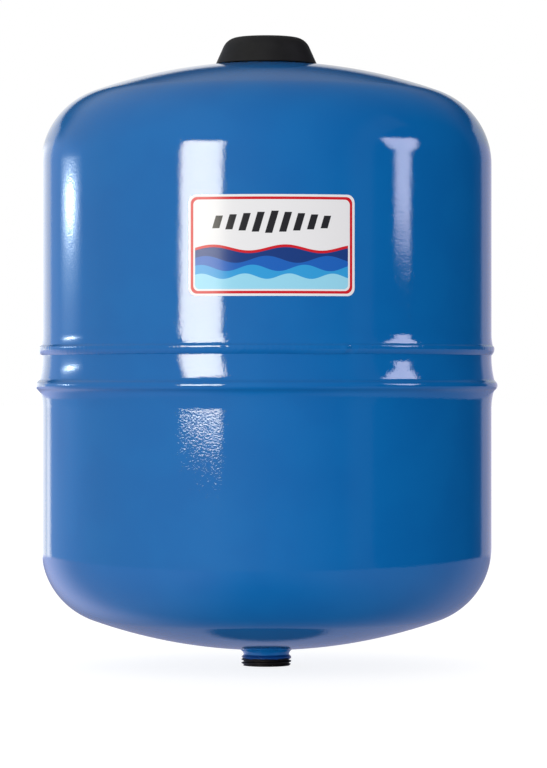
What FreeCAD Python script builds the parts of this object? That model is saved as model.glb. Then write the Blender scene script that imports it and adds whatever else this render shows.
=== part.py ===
import FreeCAD, Part
import os
import re

import Sketcher
from FreeCAD import Placement, Rotation, Vector

# Expansion tank. Two drawn steel halves are lapped and welded round the middle. A rubber
# diaphragm and a liner are clamped in the bead of the lower half, which holds the water; the
# upper half holds the air. A pipe nipple stands below and an air valve in a recess on top.
# Millimetres. The origin is the centre of the nipple's end face, +Z runs up the tank's axis,
# and the label faces -Y.

SIZES = {
    # drawn halves
    "body_radius": 150.0,
    "crown_radius": 345.0,
    "knuckle_radius": 51.0,
    "shell_wall": 1.2,
    "connection_reach": 10.8,     # from the nipple's end face to the lower dome
    "lower_half_height": 198.2,   # from the lower dome to the lip
    "upper_half_height": 192.8,   # from the lip to the upper dome
    # lap joint and its weld
    "lap_length": 12.0,
    "lap_gap": 0.1,
    "joggle_length": 3.0,
    "weld_toe": 1.2,
    "weld_rise": 1.7,
    # bead rolled outwards below the lip
    "bead_below_lip": 22.7,
    "bead_height": 4.0,
    "bead_radius": 4.5,
    "bead_root_radius": 2.5,
    # recess for the air valve
    "recess_depth": 12.0,
    "recess_radius": 24.0,
    "recess_corner_radius": 4.0,
    "recess_shoulder_radius": 4.0,
    # rubber and liner
    "layer_gap": 0.2,
    "liner_wall": 1.0,
    "diaphragm_wall": 1.8,
    "diaphragm_lift": 0.3,        # between the port sleeve and the diaphragm
    "diaphragm_corner": 1.5,
    "button_radius": 22.0,
    "button_thickness": 2.5,
    "clamp_wall": 1.2,
    "clamp_leg": 9.0,
    "clamp_gap": 0.1,
    # nipple with a 1 inch parallel pipe thread, 33.25 mm over its crests
    "nipple_radius": 16.62,
    "nipple_bore_radius": 12.5,
    "nipple_chamfer": 1.2,
    "thread_length": 6.0,
    "shank_radius": 16.2,         # plain neck between the thread and the dome
    "nipple_hole_gap": 0.1,
    "nipple_weld_leg": 4.1,
    "nipple_weld_radius": 5.0,
    "sleeve_wall": 1.0,
    "sleeve_fit": 0.02,
    "sleeve_flange_radius": 19.0,
    "sleeve_flange": 1.2,
    "sleeve_setback": 1.5,
    "seat_gap": 0.05,
    "o_ring_section": 2.0,
    "o_ring_radius": 14.56,
    "o_ring_side_gap": 0.1,
    # air valve
    "valve_stem_radius": 5.0,
    "valve_hole_gap": 0.2,
    "valve_foot_radius": 9.0,
    "valve_foot": 3.0,
    "gasket_thickness": 1.5,
    "washer_radius": 9.5,
    "washer_thickness": 1.0,
    "nut_across_flats": 14.0,
    "nut_height": 5.0,
    "nut_bevel_angle": 30.0,
    "stem_above_nut": 1.5,
    "valve_mouth_radius": 3.85,
    "valve_height": 20.0,         # from the recess floor to the valve's tip
    "valve_tip_chamfer": 0.5,
    "chamber_radius": 2.6,
    "chamber_depth": 15.3,
    "passage_radius": 1.7,
    # valve core
    "core_set_down": 1.0,
    "core_length": 10.0,
    "core_fit": 0.1,
    "core_bore_radius": 1.75,
    "core_shoulder_up": 2.0,
    "core_groove_depth": 0.4,
    "core_seal_width": 1.5,
    "core_seal_up": 0.7,
    "core_seal_proud": 0.05,
    "pin_radius": 0.6,
    "pin_set_down": 0.4,
    "pin_fit": 0.05,
    "pin_head": 0.8,
    "pin_head_down": 1.6,         # from the pin's tip to its head
    "pin_head_fit": 0.1,
    "poppet_radius": 1.9,
    "poppet_thickness": 0.9,
    "poppet_plate": 0.8,
    "poppet_gap": 0.1,
    "spring_radius": 1.2,
    "spring_wire": 0.2,
    "spring_turns": 5.0,
    "spring_end_gap": 0.03,
    # dust cap
    "dust_cap_radius": 5.3,
    "dust_cap_fit": 0.08,
    "dust_cap_roof": 1.5,
    "dust_cap_round": 1.0,
    "dust_cap_stand_off": 0.4,
    "dust_seal_thickness": 0.8,
    "grip_groove_radius": 0.45,
    "grip_groove_count": 16,
    # cover over the valve
    "cover_rise": 16.8,           # above the dome
    "cover_top_radius": 18.7,
    "cover_corner_radius": 11.0,
    "cover_base_radius": 33.8,
    "cover_wall": 2.0,
    "cover_seat_inset": 2.6,      # from the rim's outside to the circle where it sits
    "cover_gap": 0.3,
    "skirt_wall": 1.5,
    "skirt_fit": 0.3,
    "skirt_floor_gap": 3.5,
    "skirt_chamfer": 0.5,
    "rib_width": 1.2,
    "rib_depth": 8.0,
    "rib_count": 6,
    "rib_bite": 0.4,
    # label
    "label_height": 64.0,
    "label_arc": 107.0,
    "label_thickness": 0.15,
    "label_gap": 0.05,
    "label_corner_radius": 5.0,
    "label_up": 1.6,              # from the middle of the plain wall to the label's middle
    "label_shift": 3.8,           # round the body, to the right of its front
}

# Places that follow from the sizes
RULES = {
    "lower_apex_z": "connection_reach",
    "lip_z": "lower_apex_z + lower_half_height",
    "upper_apex_z": "lip_z + upper_half_height",
    "bead_z": "lip_z - bead_below_lip",
    "knuckle_r": "body_radius - knuckle_radius",
    "knuckle_sine": "knuckle_r / (crown_radius - knuckle_radius)",
    "knuckle_cosine": "sqrt(1 - knuckle_sine ^ 2)",
    "head_height": "crown_radius - (crown_radius - knuckle_radius) * knuckle_cosine",
    "lower_crown_z": "lower_apex_z + crown_radius",
    "upper_crown_z": "upper_apex_z - crown_radius",
    "lower_tangent_z": "lower_apex_z + head_height",
    "upper_tangent_z": "upper_apex_z - head_height",
    # lap joint
    "neck_radius": "body_radius - shell_wall - lap_gap",
    "joggle_top_z": "lip_z + joggle_length",
    "rim_z": "lip_z - lap_length",
    "weld_low_z": "lip_z - weld_toe",
    "weld_top_z": "joggle_top_z + weld_toe",
    "weld_middle_z": "(weld_low_z + weld_top_z) / 2",
    "weld_half": "(weld_top_z - weld_low_z) / 2",
    "weld_radius": "(weld_half ^ 2 + weld_rise ^ 2) / (2 * weld_rise)",
    # bead: its circle, and the root circles that lead into it
    "bead_r": "body_radius + bead_height - bead_radius",
    "root_r": "body_radius + bead_root_radius",
    "root_rise": "sqrt((bead_radius + bead_root_radius) ^ 2 - (root_r - bead_r) ^ 2)",
    "root_across": "(root_r - bead_r) / (bead_radius + bead_root_radius)",
    "root_along": "root_rise / (bead_radius + bead_root_radius)",
    "groove_radius": "bead_radius - shell_wall",
    # recess
    "floor_z": "upper_apex_z - recess_depth",
    "under_floor_z": "floor_z - shell_wall",
    "corner_r": "recess_radius - recess_corner_radius",
    "shoulder_r": "recess_radius + recess_shoulder_radius",
    "shoulder_sine": "shoulder_r / (crown_radius - recess_shoulder_radius)",
    "shoulder_cosine": "sqrt(1 - shoulder_sine ^ 2)",
    "shoulder_z": "upper_crown_z + (crown_radius - recess_shoulder_radius) * shoulder_cosine",
    # layers inside the lower half, as depths below its outer face
    "liner_outside": "shell_wall + layer_gap",
    "liner_inside": "liner_outside + liner_wall",
    "liner_top_radius": "crown_radius - liner_inside",
    "flange_under_z": "lower_crown_z - sqrt(liner_top_radius ^ 2 - sleeve_flange_radius ^ 2) + seat_gap",
    "flange_top_z": "flange_under_z + sleeve_flange",
    "rubber_outside": "flange_top_z + diaphragm_lift - lower_apex_z",
    "rubber_inside": "rubber_outside + diaphragm_wall",
    # clamped rims
    "clamp_top_z": "bead_z + groove_radius - clamp_gap",
    "clamp_under_z": "clamp_top_z - clamp_wall",
    "rubber_top_z": "clamp_under_z - clamp_gap",
    "rubber_low_z": "bead_z - (groove_radius - 2 * layer_gap - liner_wall)",
    "rubber_middle_z": "(rubber_top_z + rubber_low_z) / 2",
    "rubber_rim_radius": "(rubber_top_z - rubber_low_z) / 2",
    "rubber_inner_r": "body_radius - rubber_inside",
    "clamp_bend_r": "rubber_inner_r + diaphragm_corner",
    "clamp_bend_z": "rubber_top_z - diaphragm_corner",
    "clamp_r": "rubber_inner_r - clamp_gap",
    "clamp_foot_z": "clamp_bend_z - clamp_leg",
    # port
    "nipple_hole_radius": "shank_radius + nipple_hole_gap",
    "nipple_top_z": "lower_apex_z + shell_wall",
    "nipple_weld_edge_r": "shank_radius + nipple_weld_leg",
    "nipple_weld_edge_z": "lower_crown_z - sqrt(crown_radius ^ 2 - nipple_weld_edge_r ^ 2)",
    "nipple_weld_sweep": "sqrt(nipple_weld_radius ^ 2 - (nipple_weld_radius - nipple_weld_leg) ^ 2)",
    "nipple_weld_low_z": "nipple_weld_edge_z - nipple_weld_sweep",
    "sleeve_radius": "nipple_bore_radius - sleeve_fit",
    "sleeve_bore_radius": "sleeve_radius - sleeve_wall",
    "liner_port_radius": "nipple_bore_radius + layer_gap",
    "liner_bottom_radius": "crown_radius - liner_outside",
    "liner_seat_z": "lower_crown_z - sqrt(liner_bottom_radius ^ 2 - o_ring_radius ^ 2)",
    "o_ring_z": "liner_seat_z - seat_gap - o_ring_section / 2",
    "o_ring_floor_z": "o_ring_z - o_ring_section / 2",
    "o_ring_half_groove": "o_ring_section / 2 + o_ring_side_gap",
    # air valve
    "valve_hole_radius": "valve_stem_radius + valve_hole_gap",
    "foot_top_z": "under_floor_z - gasket_thickness",
    "foot_z": "foot_top_z - valve_foot",
    "washer_top_z": "floor_z + washer_thickness",
    "nut_top_z": "washer_top_z + nut_height",
    "stem_top_z": "nut_top_z + stem_above_nut",
    "mouth_low_z": "stem_top_z + valve_stem_radius - valve_mouth_radius",
    "tip_z": "floor_z + valve_height",
    "chamber_floor_z": "tip_z - chamber_depth",
    "core_radius": "chamber_radius - core_fit",
    "core_top_z": "tip_z - core_set_down",
    "core_low_z": "core_top_z - core_length",
    "core_shoulder_z": "core_low_z + core_shoulder_up",
    "seal_low_z": "core_low_z + core_seal_up",
    "seal_top_z": "seal_low_z + core_seal_width",
    "pin_top_z": "tip_z - pin_set_down",
    "pin_head_top_z": "pin_top_z - pin_head_down",
    "pin_head_low_z": "pin_head_top_z - pin_head",
    "poppet_top_z": "core_low_z - poppet_gap",
    "poppet_low_z": "poppet_top_z - poppet_thickness",
    "pin_foot_z": "poppet_low_z - poppet_plate",
    "spring_low_z": "core_shoulder_z + spring_wire + spring_end_gap",
    "spring_top_z": "pin_head_low_z - spring_wire - spring_end_gap",
    # dust cap
    "dust_bore_radius": "valve_mouth_radius + dust_cap_fit",
    "dust_seal_low_z": "tip_z + seat_gap",
    "dust_seal_top_z": "dust_seal_low_z + dust_seal_thickness",
    "dust_ceiling_z": "dust_seal_top_z + seat_gap",
    "dust_top_z": "dust_ceiling_z + dust_cap_roof",
    "dust_low_z": "mouth_low_z + dust_cap_stand_off",
    # cover: a corner circle, and a straight side that leaves it tangent
    "cover_top_z": "upper_apex_z + cover_rise",
    "cover_ceiling_z": "cover_top_z - cover_wall",
    "cover_seat_r": "cover_base_radius - cover_seat_inset",
    "cover_base_z": "upper_crown_z + sqrt(crown_radius ^ 2 - cover_seat_r ^ 2) + cover_gap",
    "cover_corner_z": "cover_top_z - cover_corner_radius",
    "cover_out": "cover_base_radius - cover_top_radius",
    "cover_down": "cover_corner_z - cover_base_z",
    "cover_apart": "cover_out ^ 2 + cover_down ^ 2",
    "cover_run": "sqrt(cover_apart - cover_corner_radius ^ 2)",
    "cover_lean_r": "(cover_corner_radius * cover_out + cover_run * cover_down) / cover_apart",
    "cover_lean_z": "(cover_run * cover_out - cover_corner_radius * cover_down) / cover_apart",
    "skirt_radius": "recess_radius - skirt_fit",
    "skirt_bore_radius": "skirt_radius - skirt_wall",
    "skirt_low_z": "floor_z + skirt_floor_gap",
    "rib_low_z": "cover_ceiling_z - rib_depth",
    # label
    "label_z": "(weld_top_z + upper_tangent_z) / 2 + label_up",
    "label_r": "body_radius + label_gap",
    "label_angle": "label_arc / body_radius * 180 / pi",
    "label_turn": "label_shift / body_radius * 180 / pi - 90",
}

doc = FreeCAD.newDocument("ExpansionTank")
sheet = doc.addObject("Spreadsheet::Sheet", "Sizes")
for row, (alias, size) in enumerate(SIZES.items(), 1):
    sheet.set("A%d" % row, alias)
    sheet.set("B%d" % row, str(size))
    sheet.setAlias("B%d" % row, alias)
doc.recompute()

pieces = []


def bound(text):
    """The same formula with each name turned into a cell of the sheet or the rule it stands for."""
    def stand_in(match):
        word = match.group()
        if word in RULES:
            return "(" + bound(RULES[word]) + ")"
        return "Sizes." + word if word in SIZES else word
    return re.sub(r"[a-z][a-z_]+", stand_in, str(text))


def value(text):
    return float(sheet.evalExpression(bound(text)))


def new_piece(name):
    body = doc.addObject("PartDesign::Body", name)
    body.Label = name
    pieces.append(body)
    return body


def plane(body, role):
    return next(item for item in body.Origin.OriginFeatures if item.Role == role)


def new_sketch(body, name, role="XZ_Plane", height=None):
    """A sketch on one of the body's own planes. XZ reads radius across and height up."""
    sketch = body.newObject("Sketcher::SketchObject", name)
    sketch.AttachmentSupport = [(plane(body, role), "")]
    sketch.MapMode = "FlatFace"
    if height:
        sketch.setExpression("AttachmentOffset.Base.z", bound(height))
    return sketch


def place(sketch, spots):
    """Hold points of a sketch at formulas: each spot is geometry, point, direction, formula."""
    held = []
    limits = []
    for geometry, point, direction, text in spots:
        if text == "0":
            axis = -2 if direction == "X" else -1
            limits.append(Sketcher.Constraint("PointOnObject", geometry, point, axis))
            continue
        held.append((len(limits), text))
        kind = "Distance" + direction
        limits.append(Sketcher.Constraint(kind, -1, 1, geometry, point, value(text)))
    numbers = sketch.addConstraint(limits)
    for index, text in held:
        sketch.setExpression("Constraints[%d]" % numbers[index], bound(text))


def draw(sketch, path):
    """A closed outline. A step is (r, z), reached by a straight stretch from the step before,
    or (r, z, centre r, centre z), reached by an arc. The first step closes the outline."""
    points = [Vector(value(step[0]), value(step[1]), 0) for step in path]
    shapes = []
    ends = []
    spots = []
    for index, step in enumerate(path):
        start = points[index - 1]
        end = points[index]
        if len(step) == 2:
            shapes.append(Part.LineSegment(start, end))
            ends.append((1, 2))
        else:
            centre = Vector(value(step[2]), value(step[3]), 0)
            first = start - centre
            last = end - centre
            leftward = first.cross(last).z > 0
            if not leftward:
                first, last = last, first
            circle = Part.Circle(centre, Vector(0, 0, 1), (start - centre).Length)
            shapes.append(Part.ArcOfCircle(circle, circle.parameter(centre + first),
                                           circle.parameter(centre + last)))
            ends.append((1, 2) if leftward else (2, 1))
            chord = end - start
            if abs(chord.y) > abs(chord.x):
                spots.append((index, 3, "X", step[2]))
            else:
                spots.append((index, 3, "Y", step[3]))
        spots.append((index, ends[index][1], "X", step[0]))
        spots.append((index, ends[index][1], "Y", step[1]))
    sketch.addGeometry(shapes)
    joins = []
    for index in range(len(path)):
        after = (index + 1) % len(path)
        joins.append(Sketcher.Constraint("Coincident", index, ends[index][1], after, ends[after][0]))
    sketch.addConstraint(joins)
    place(sketch, spots)


def draw_circle(sketch, across, up, radius):
    centre = Vector(value(across), value(up), 0)
    sketch.addGeometry(Part.Circle(centre, Vector(0, 0, 1), value(radius)))
    place(sketch, [(0, 3, "X", across), (0, 3, "Y", up)])
    number = sketch.addConstraint(Sketcher.Constraint("Radius", 0, value(radius)))
    sketch.setExpression("Constraints[%d]" % number, bound(radius))


def spin(body, sketch, name, kind="PartDesign::Revolution"):
    """Turn a section about the tank's axis, adding or, as a groove, cutting."""
    turned = body.newObject(kind, name)
    turned.Profile = sketch
    turned.ReferenceAxis = (sketch, ["V_Axis"])
    turned.Angle = 360
    return turned


def turned_piece(name, path):
    body = new_piece(name)
    sketch = new_sketch(body, name + "_section")
    draw(sketch, path)
    spin(body, sketch, name + "_turned")
    return body


def back(path):
    """The same path walked the other way, with each arc's centre kept on its stretch."""
    turned = [path[-1][:2]]
    for index in range(len(path) - 1, 0, -1):
        turned.append(path[index - 1][:2] + path[index][2:])
    return turned


def around(name, count, body, feature):
    """Repeat a feature round the tank's axis."""
    pattern = body.newObject("PartDesign::PolarPattern", name)
    pattern.Originals = [feature]
    pattern.Axis = (plane(body, "Z_Axis"), [""])
    pattern.Angle = 360
    pattern.setExpression("Occurrences", bound(count))
    body.Tip = pattern
    return pattern


def lower_bowl(depth, start_r):
    """The lower half's form at a depth below its outer face, from its middle up to the bead."""
    crown = "(crown_radius - %s)" % depth
    wall_r = "body_radius - " + depth
    swing = "(bead_radius - %s)" % depth
    return [
        (start_r, "lower_crown_z - sqrt(%s ^ 2 - %s ^ 2)" % (crown, start_r)),
        (crown + " * knuckle_sine", "lower_crown_z - %s * knuckle_cosine" % crown, "0", "lower_crown_z"),
        (wall_r, "lower_tangent_z", "knuckle_r", "lower_tangent_z"),
        (wall_r, "bead_z - root_rise"),
        ("bead_r + %s * root_across" % swing, "bead_z - %s * root_along" % swing,
         "root_r", "bead_z - root_rise"),
    ]


def lower_half(depth):
    """The whole lower half, bead and lip included."""
    swing = "(bead_radius - %s)" % depth
    wall_r = "body_radius - " + depth
    return lower_bowl(depth, "nipple_hole_radius") + [
        ("bead_r + %s * root_across" % swing, "bead_z + %s * root_along" % swing, "bead_r", "bead_z"),
        (wall_r, "bead_z + root_rise", "root_r", "bead_z + root_rise"),
        (wall_r, "lip_z"),
    ]


def upper_half(depth):
    """The upper half, from the valve's hole over the recess and the dome to the necked rim."""
    crown = "(crown_radius - %s)" % depth
    wall_r = "body_radius - " + depth
    neck = "neck_radius - " + depth
    recess = "recess_radius + " + depth
    return [
        ("valve_hole_radius", "floor_z - " + depth),
        ("corner_r", "floor_z - " + depth),
        (recess, "floor_z + recess_corner_radius", "corner_r", "floor_z + recess_corner_radius"),
        (recess, "shoulder_z"),
        (crown + " * shoulder_sine", "upper_crown_z + %s * shoulder_cosine" % crown,
         "shoulder_r", "shoulder_z"),
        (crown + " * knuckle_sine", "upper_crown_z + %s * knuckle_cosine" % crown, "0", "upper_crown_z"),
        (wall_r, "upper_tangent_z", "knuckle_r", "upper_tangent_z"),
        (wall_r, "joggle_top_z"),
        (neck, "lip_z"),
        (neck, "rim_z"),
    ]


def drawn_shells():
    outer_face = "0 * shell_wall"
    turned_piece("upper_shell", upper_half(outer_face) + back(upper_half("shell_wall")))
    turned_piece("lower_shell", lower_half(outer_face) + back(lower_half("shell_wall")))


def girth_weld():
    """Fills the corner between the lip and the joggle and stands proud in a low crown."""
    turned_piece("girth_weld", [
        ("body_radius", "weld_low_z", "body_radius + weld_rise - weld_radius", "weld_middle_z"),
        ("body_radius", "lip_z"),
        ("neck_radius", "lip_z"),
        ("body_radius", "joggle_top_z"),
        ("body_radius", "weld_top_z"),
    ])


def water_liner():
    """A thin cup against the lower half. Its rim curls out into the bead as far as its middle."""
    def face(depth):
        hook = ("bead_r + bead_radius - " + depth, "bead_z", "bead_r", "bead_z")
        return lower_bowl(depth, "liner_port_radius") + [hook]
    turned_piece("water_liner", face("liner_outside") + back(face("liner_inside")))


def diaphragm():
    """A rubber cup, pressed down by the air, with a thick rounded rim and a button at the port."""
    rim_r = "bead_r + rubber_rim_radius"
    wet_side = lower_bowl("rubber_outside", "0")[:3] + [
        ("body_radius - rubber_outside", "rubber_low_z"),
        ("bead_r", "rubber_low_z"),
        (rim_r, "rubber_middle_z", "bead_r", "rubber_middle_z"),
        ("bead_r", "rubber_top_z", "bead_r", "rubber_middle_z"),
        ("clamp_bend_r", "rubber_top_z"),
        ("rubber_inner_r", "clamp_bend_z", "clamp_bend_r", "clamp_bend_z"),
    ]
    air_side = lower_bowl("rubber_inside", "0")[:3]
    body = turned_piece("diaphragm", wet_side + back(air_side))
    sketch = new_sketch(body, "button_section")
    middle = "(crown_radius - rubber_outside - diaphragm_wall / 2)"
    button_top = "lower_apex_z + rubber_inside + button_thickness"
    draw(sketch, [
        ("0", button_top),
        ("0", "lower_crown_z - " + middle),
        ("button_radius", "lower_crown_z - sqrt(%s ^ 2 - button_radius ^ 2)" % middle, "0", "lower_crown_z"),
        ("button_radius", button_top),
    ])
    spin(body, sketch, "button")


def clamp_ring():
    """A rolled hoop: a leg inside the rubber wall, and a flange locked under the bead's flank."""
    turned_piece("clamp_ring", [
        ("clamp_r", "clamp_foot_z"),
        ("clamp_r", "clamp_bend_z"),
        ("clamp_bend_r", "clamp_under_z", "clamp_bend_r", "clamp_bend_z"),
        ("bead_r", "clamp_under_z"),
        ("bead_r", "clamp_top_z"),
        ("clamp_bend_r", "clamp_top_z"),
        ("clamp_r - clamp_wall", "clamp_bend_z", "clamp_bend_r", "clamp_bend_z"),
        ("clamp_r - clamp_wall", "clamp_foot_z"),
    ])


def connection():
    """The nipple with an O-ring groove in its inner end, its weld, the ring and the sleeve.
    The nipple's shank is turned down a little beyond the thread, and the weld stands on it."""
    groove_in = "o_ring_radius - o_ring_half_groove"
    groove_out = "o_ring_radius + o_ring_half_groove"
    lead_in = "nipple_chamfer / 2"
    turned_piece("connection_nipple", [
        ("nipple_bore_radius + " + lead_in, "0"),
        ("nipple_radius - nipple_chamfer", "0"),
        ("nipple_radius", "nipple_chamfer"),
        ("nipple_radius", "thread_length"),
        ("shank_radius", "thread_length + nipple_radius - shank_radius"),
        ("shank_radius", "nipple_top_z"),
        (groove_out, "nipple_top_z"),
        (groove_out, "o_ring_floor_z"),
        (groove_in, "o_ring_floor_z"),
        (groove_in, "nipple_top_z"),
        ("nipple_bore_radius", "nipple_top_z"),
        ("nipple_bore_radius", lead_in),
    ])
    turned_piece("nipple_weld", [
        ("shank_radius", "nipple_weld_low_z", "shank_radius + nipple_weld_radius", "nipple_weld_low_z"),
        ("shank_radius", "lower_crown_z - sqrt(crown_radius ^ 2 - shank_radius ^ 2)"),
        ("nipple_weld_edge_r", "nipple_weld_edge_z", "0", "lower_crown_z"),
    ])
    ring = new_piece("port_o_ring")
    section = new_sketch(ring, "port_o_ring_section")
    draw_circle(section, "o_ring_radius", "o_ring_z", "o_ring_section / 2")
    spin(ring, section, "port_o_ring_turned")
    mouth = "sleeve_bore_radius + sleeve_wall / 2"
    turned_piece("port_sleeve", [
        ("sleeve_bore_radius", "sleeve_setback"),
        ("sleeve_radius", "sleeve_setback"),
        ("sleeve_radius", "flange_under_z"),
        ("sleeve_flange_radius", "flange_under_z"),
        ("sleeve_flange_radius", "flange_top_z"),
        (mouth, "flange_top_z"),
        ("sleeve_bore_radius", "flange_top_z - sleeve_wall / 2", mouth, "flange_top_z - sleeve_wall / 2"),
    ])


def valve_mounting():
    """The valve's body, clamped through the recess floor by its foot, gasket, washer and nut."""
    tip_r = "valve_mouth_radius - valve_tip_chamfer"
    turned_piece("valve_body", [
        ("passage_radius", "foot_z"),
        ("valve_foot_radius", "foot_z"),
        ("valve_foot_radius", "foot_top_z"),
        ("valve_stem_radius", "foot_top_z"),
        ("valve_stem_radius", "stem_top_z"),
        ("valve_mouth_radius", "mouth_low_z"),
        ("valve_mouth_radius", "tip_z - valve_tip_chamfer"),
        (tip_r, "tip_z"),
        ("chamber_radius", "tip_z"),
        ("chamber_radius", "chamber_floor_z"),
        ("passage_radius", "chamber_floor_z - chamber_radius + passage_radius"),
    ])
    turned_piece("valve_gasket", [
        ("valve_hole_radius", "foot_top_z"),
        ("valve_foot_radius", "foot_top_z"),
        ("valve_foot_radius", "under_floor_z"),
        ("valve_hole_radius", "under_floor_z"),
    ])
    turned_piece("valve_washer", [
        ("valve_hole_radius", "floor_z"),
        ("washer_radius", "floor_z"),
        ("washer_radius", "washer_top_z"),
        ("valve_hole_radius", "washer_top_z"),
    ])
    hexagon_nut("valve_nut")


def hexagon_nut(name):
    """Pressed hexagon with chamfered corners, bored to the stem."""
    half_flats = "(nut_across_flats / 2)"
    corner = "nut_across_flats / sqrt(3)"
    body = new_piece(name)
    outline = new_sketch(body, name + "_outline", "XY_Plane", "washer_top_z")
    draw(outline, [
        (corner, "0"),
        ("%s / 2" % corner, half_flats),
        ("-%s / 2" % corner, half_flats),
        ("-" + corner, "0"),
        ("-%s / 2" % corner, "-" + half_flats),
        ("%s / 2" % corner, "-" + half_flats),
    ])
    block = body.newObject("PartDesign::Pad", name + "_block")
    block.Profile = outline
    block.setExpression("Length", bound("nut_height"))
    hole = new_sketch(body, name + "_hole", "XY_Plane", "washer_top_z")
    draw_circle(hole, "0", "0", "valve_stem_radius + seat_gap")
    bore = body.newObject("PartDesign::Pocket", name + "_bore")
    bore.Profile = hole
    bore.Reversed = True
    bore.setExpression("Length", bound("nut_height"))
    bevel = new_sketch(body, name + "_bevel")
    draw(bevel, [
        (half_flats, "nut_top_z"),
        ("nut_across_flats", "nut_top_z"),
        ("nut_across_flats", "nut_top_z - %s * tan(nut_bevel_angle)" % half_flats),
    ])
    spin(body, bevel, name + "_bevelled", "PartDesign::Groove")


def valve_core():
    """The barrel in the valve's chamber, its seal, and the sprung pin with its poppet."""
    groove_r = "core_radius - core_groove_depth"
    pin_hole = "pin_radius + pin_fit"
    turned_piece("valve_core_body", [
        (pin_hole, "core_low_z"),
        ("core_radius", "core_low_z"),
        ("core_radius", "seal_low_z"),
        (groove_r, "seal_low_z"),
        (groove_r, "seal_top_z"),
        ("core_radius", "seal_top_z"),
        ("core_radius", "core_top_z"),
        ("core_bore_radius", "core_top_z"),
        ("core_bore_radius", "core_shoulder_z"),
        (pin_hole, "core_shoulder_z"),
    ])
    turned_piece("valve_core_seal", [
        (groove_r, "seal_low_z"),
        ("core_radius + core_seal_proud", "seal_low_z"),
        ("core_radius + core_seal_proud", "seal_top_z"),
        (groove_r, "seal_top_z"),
    ])
    head_r = "core_bore_radius - pin_head_fit"
    turned_piece("valve_core_pin", [
        ("0", "pin_foot_z"),
        ("poppet_radius", "pin_foot_z"),
        ("poppet_radius", "poppet_low_z"),
        ("pin_radius", "poppet_low_z"),
        ("pin_radius", "pin_head_low_z"),
        (head_r, "pin_head_low_z"),
        (head_r, "pin_head_top_z"),
        ("pin_radius", "pin_head_top_z"),
        ("pin_radius", "pin_top_z - pin_radius / 2"),
        ("pin_radius / 2", "pin_top_z"),
        ("0", "pin_top_z"),
    ])
    turned_piece("valve_core_poppet", [
        ("pin_radius", "poppet_low_z"),
        ("poppet_radius", "poppet_low_z"),
        ("poppet_radius", "poppet_top_z"),
        ("pin_radius", "poppet_top_z"),
    ])
    spring = new_piece("valve_core_spring")
    wire = new_sketch(spring, "spring_wire_section")
    draw_circle(wire, "spring_radius", "spring_low_z", "spring_wire")
    coil = spring.newObject("PartDesign::AdditiveHelix", "spring_coil")
    coil.Profile = wire
    coil.ReferenceAxis = (wire, ["V_Axis"])
    coil.Mode = "height-turns-angle"
    coil.Angle = 0
    coil.setExpression("Height", bound("spring_top_z - spring_low_z"))
    coil.setExpression("Turns", bound("spring_turns"))


def dust_cap():
    """A small cup screwed on the valve's mouth, with grip grooves and a rubber disc inside."""
    rounding = "dust_cap_radius - dust_cap_round"
    body = turned_piece("valve_cap", [
        ("dust_bore_radius", "dust_low_z"),
        ("dust_cap_radius", "dust_low_z"),
        ("dust_cap_radius", "dust_top_z - dust_cap_round"),
        (rounding, "dust_top_z", rounding, "dust_top_z - dust_cap_round"),
        ("0", "dust_top_z"),
        ("0", "dust_ceiling_z"),
        ("dust_bore_radius", "dust_ceiling_z"),
    ])
    notch = new_sketch(body, "grip_outline", "XY_Plane", "dust_low_z")
    draw_circle(notch, "dust_cap_radius + grip_groove_radius / 2", "0", "grip_groove_radius")
    groove = body.newObject("PartDesign::Pocket", "grip_groove")
    groove.Profile = notch
    groove.Reversed = True
    groove.setExpression("Length", bound("dust_ceiling_z - dust_low_z"))
    around("grip_grooves", "grip_groove_count", body, groove)
    turned_piece("valve_cap_seal", [
        ("0", "dust_seal_low_z"),
        ("valve_mouth_radius", "dust_seal_low_z"),
        ("valve_mouth_radius", "dust_seal_top_z"),
        ("0", "dust_seal_top_z"),
    ])


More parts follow.
